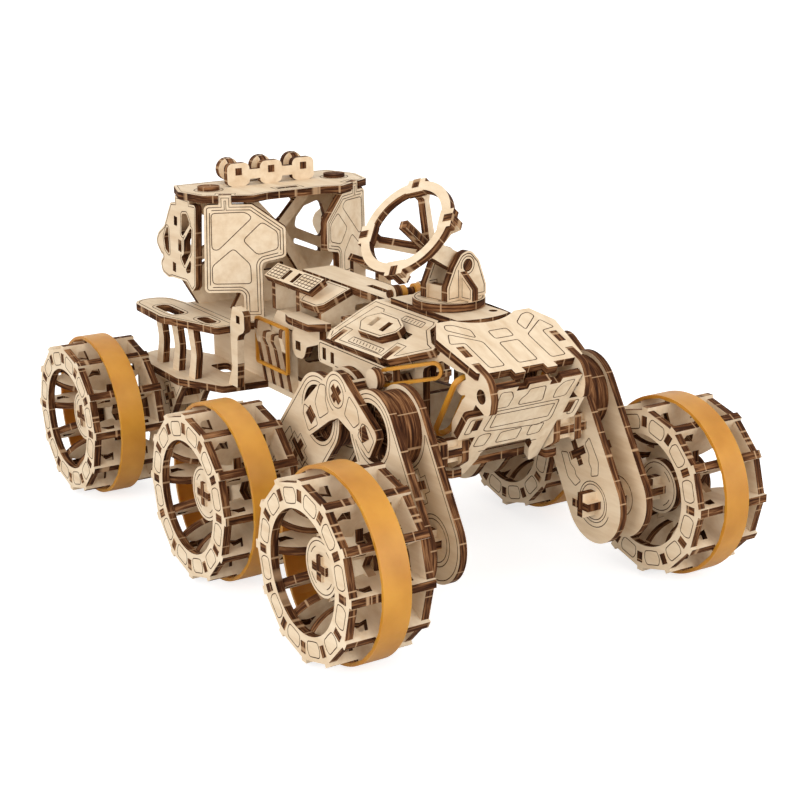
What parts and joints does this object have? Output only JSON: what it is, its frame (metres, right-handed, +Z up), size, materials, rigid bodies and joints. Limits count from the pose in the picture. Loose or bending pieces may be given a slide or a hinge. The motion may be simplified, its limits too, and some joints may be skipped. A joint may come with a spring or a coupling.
{
  "type": "model planetary rover",
  "caption": "Push-together plywood model of an articulated planetary rover: open cab, lamp bar, turning antenna mast, rocker legs and open wheels with rubber band tyres",
  "frame": {"origin": "on the ground under the middle of the wheelbase, in the rover's middle plane", "axes": "+X forward to the nose, +Y to the rover's left, +Z up"},
  "size_m": [0.273, 0.1764, 0.1501],
  "materials": {
    "plywood": "satin",
    "rubber": "satin"
  },
  "bodies": {
    "rover": {"cab_back": "plywood", "cab_braces": "plywood", "cab_floor": "plywood", "cab_panels": "plywood", "cab_roof": "plywood", "cab_sides": "plywood", "chassis_crosses": "plywood", "chassis_floor": "plywood", "chassis_side_left": "plywood", "chassis_side_right": "plywood", "console_frames": "plywood", "console_panels": "plywood", "console_spine": "plywood", "fender_left": "plywood", "fender_right": "plywood", "hood_plate": "plywood", "keypads": "plywood", "lamp_bar": "plywood", "leg_front_left": "plywood", "leg_front_right": "plywood", "leg_mid_left": "plywood", "leg_mid_right": "plywood", "leg_rear_left": "plywood", "leg_rear_right": "plywood", "lever_box_left": "plywood", "lever_box_right": "plywood", "levers": "plywood", "motor_fins": "plywood", "nose_plate": "plywood", "rack_left": "plywood", "rack_right": "plywood", "rocker_left": "plywood", "rocker_right": "plywood", "rubber_bands": "rubber", "seat_back": "plywood", "side_deck_left": "plywood", "side_deck_right": "plywood", "side_shelves": "plywood", "struts": "plywood", "turntable_base": "plywood"},
    "dish": {"antenna_dish": "plywood"},
    "wheel_front_left": {"axle_front_left": "plywood", "tyre_front_left": "rubber", "wheel_front_left": "plywood"},
    "wheel_front_right": {"axle_front_right": "plywood", "tyre_front_right": "rubber", "wheel_front_right": "plywood"},
    "wheel_mid_left": {"axle_mid_left": "plywood", "tyre_mid_left": "rubber", "wheel_mid_left": "plywood"},
    "wheel_mid_right": {"axle_mid_right": "plywood", "tyre_mid_right": "rubber", "wheel_mid_right": "plywood"},
    "wheel_rear_left": {"axle_rear_left": "plywood", "tyre_rear_left": "rubber", "wheel_rear_left": "plywood"},
    "wheel_rear_right": {"axle_rear_right": "plywood", "tyre_rear_right": "rubber", "wheel_rear_right": "plywood"},
    "mast": {"turntable_mast": "plywood"}
  },
  "joints": [
    {"name": "wheel_front_right_turn", "type": "hinge", "parent": "rover", "child": "wheel_front_right", "pos_m": [0.10265, -0.0721, 0.0339], "axis": [0, 1, 0], "continuous": true},
    {"name": "wheel_front_left_turn", "type": "hinge", "parent": "rover", "child": "wheel_front_left", "pos_m": [0.10265, 0.0721, 0.0339], "axis": [0, 1, 0], "continuous": true},
    {"name": "wheel_mid_right_turn", "type": "hinge", "parent": "rover", "child": "wheel_mid_right", "pos_m": [0.01575, -0.0721, 0.0339], "axis": [0, 1, 0], "continuous": true},
    {"name": "wheel_mid_left_turn", "type": "hinge", "parent": "rover", "child": "wheel_mid_left", "pos_m": [0.01575, 0.0721, 0.0339], "axis": [0, 1, 0], "continuous": true},
    {"name": "wheel_rear_right_turn", "type": "hinge", "parent": "rover", "child": "wheel_rear_right", "pos_m": [-0.10265, -0.0721, 0.0339], "axis": [0, 1, 0], "continuous": true},
    {"name": "wheel_rear_left_turn", "type": "hinge", "parent": "rover", "child": "wheel_rear_left", "pos_m": [-0.10265, 0.0721, 0.0339], "axis": [0, 1, 0], "continuous": true},
    {"name": "turntable_turn", "type": "hinge", "parent": "rover", "child": "mast", "pos_m": [0.05805, 0, 0.10645], "axis": [0, 0, 1], "continuous": true},
    {"name": "antenna_tilt", "type": "hinge", "parent": "mast", "child": "dish", "pos_m": [0.05758, 0.00266, 0.11845], "axis": [0.9848, 0.1736, 0], "range_deg": [-30, 20]}
  ]
}
